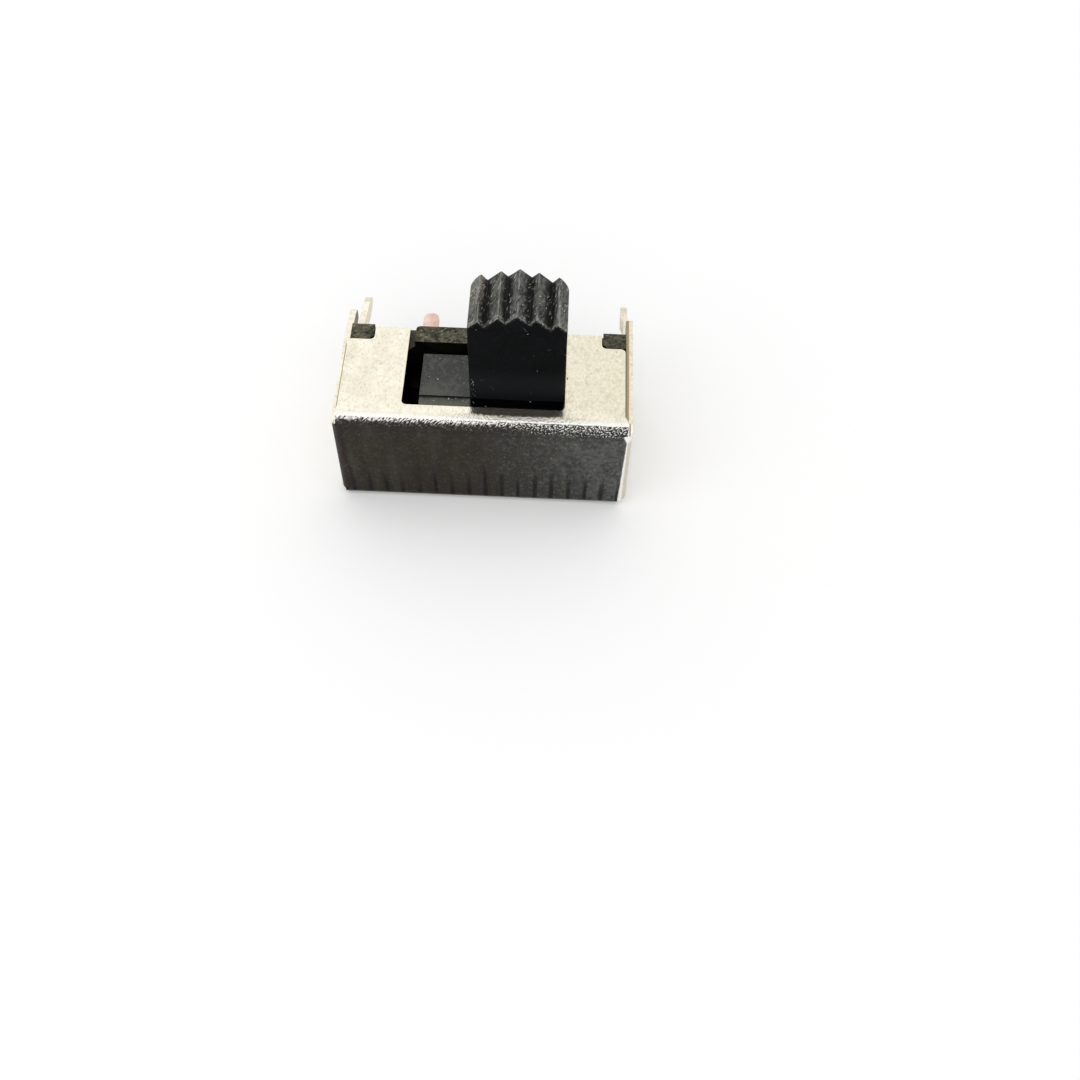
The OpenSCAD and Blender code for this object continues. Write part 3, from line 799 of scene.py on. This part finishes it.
def lint_corner():
    """Where lint gathers at the knob's left front corner: before the knob, up its front and beside it."""
    knob_left = KNOB_X - KNOB_HALF
    left, right = knob_left - 0.25, knob_left + 0.35
    patches = (((left, KNOB_FRONT - 1.1, STRIP_Z), (right, KNOB_FRONT, STRIP_Z)),
               ((knob_left, KNOB_FRONT, STRIP_Z), (right, KNOB_FRONT, PLATE_Z + 1.6)),
               ((left, KNOB_FRONT, PLATE_Z), (knob_left, KNOB_FRONT + 1.1, PLATE_Z)))
    corners = [Vector(c) * MM for a, b in patches for c in (a, (b[0], a[1], a[2]), b, (a[0], b[1], b[2]))]
    mesh = bpy.data.meshes.new("foot_corner")
    mesh.from_pydata(corners, [], [range(i, i + 4) for i in range(0, len(corners), 4)])
    return mesh


dust = grey_dust()
specks = scattered_specks(dust)
for name, surface in (
        ("plate_dust", part_of(slider.data, lambda f: wide(f, PLATE))),
        ("knob_dust", part_of(slider.data, lambda f: wide(f, BLACK_SIDE)
                              and f.calc_center_median().z > (FACE_Z + 0.5) * MM)),
        ("foot_lint", lint_corner())):
    per_mm2, radius, seed = GRAINS[name]
    grains = follow(specks, surface, name, Per_area=per_mm2 * PER_MM2, Size=radius * MM, Seed=seed)
    stand_for(grains, SLIDER_UNIT, "slider_plastic")

torn = torn_slivers(dust)
for name, surface in (
        ("ridge_slivers", part_of(slider.data, lambda f: f.material_index in (RIDGED_TOP, TORN_EDGE))),
        ("rim_slivers", part_of(slider.data, lambda f: f.material_index == TORN_EDGE
                                and f.calc_center_median().y < 0))):
    per_mm2, length, width, way, seed = SLIVERS[name]
    slivers = follow(torn, surface, name, Per_area=per_mm2 * PER_MM2, Length=length * MM, Width=width * MM,
                     Way=way, Seed=seed)
    stand_for(slivers, SLIDER_UNIT, "slider_plastic")


# ---- Stage, light and camera ----

def pale_floor():
    """A wide white floor that glows a little to the eye only."""
    finish, tree, shader = new_finish("pale_floor", Roughness=0.9, Specular_IOR_Level=0.0)
    shader.inputs["Base Color"].default_value = (0.95, 0.95, 0.95, 1)
    shader.inputs["Emission Color"].default_value = (1, 1, 1, 1)
    seen = times(tree, add(tree, "ShaderNodeLightPath").outputs["Is Camera Ray"], FLOOR_GLOW)
    tree.links.new(seen, shader.inputs["Emission Strength"])
    mesh = bpy.data.meshes.new("floor")
    mesh.from_pydata([(x * FLOOR_HALF, y * FLOOR_HALF, 0) for x, y in ((-1, -1), (1, -1), (1, 1), (-1, 1))],
                     [], [range(4)])
    mesh.materials.append(finish)
    floor = show("floor", mesh)


def softbox(name, place, side, power):
    """Square area lamp, turned to the part."""
    lamp = bpy.data.lights.new(name, "AREA")
    lamp.shape = "SQUARE"
    lamp.size = side * MM
    lamp.energy = power
    holder = show(name, lamp)
    holder.location = Vector(place) * MM
    holder.rotation_euler = (Vector(LIT_PLACE) - Vector(place)).to_track_quat("-Z", "Y").to_euler()


def white_room():
    """Even light from all round, plain white to the eye."""
    world = bpy.data.worlds.new("white_room")
    bpy.context.scene.world = world
    world.use_nodes = True
    tree = world.node_tree
    sky = tree.nodes["Background"]
    sky.inputs["Color"].default_value = (1, 1, 1, 1)
    sky.inputs["Strength"].default_value = ROOM_LIGHT
    seen = add(tree, "ShaderNodeBackground", {"Color": (1, 1, 1, 1), "Strength": 1.0})
    rays = add(tree, "ShaderNodeLightPath")
    mix = add(tree, "ShaderNodeMixShader", {0: rays.outputs["Is Camera Ray"], 1: sky.outputs[0], 2: seen.outputs[0]})
    tree.links.new(mix.outputs[0], tree.nodes["World Output"].inputs["Surface"])


def look():
    """The camera, turned to its target and then rolled."""
    camera = bpy.data.cameras.new("camera")
    camera.lens = LENS
    camera.sensor_width = SENSOR
    camera.clip_start = 0.001
    camera.clip_end = 10
    holder = show("camera", camera)
    aim = (Vector(CAMERA_TARGET) - Vector(CAMERA_PLACE)).to_track_quat("-Z", "Y").to_matrix()
    roll = Matrix.Rotation(math.radians(CAMERA_ROLL), 3, "Z")
    holder.matrix_world = Matrix.Translation(Vector(CAMERA_PLACE) * MM) @ (aim @ roll).to_4x4()
    bpy.context.scene.camera = holder


pale_floor()
white_room()
for name, (place, side, power) in LAMPS.items():
    softbox(name, place, side, power)
look()
bpy.context.scene.view_settings.view_transform = "Standard"
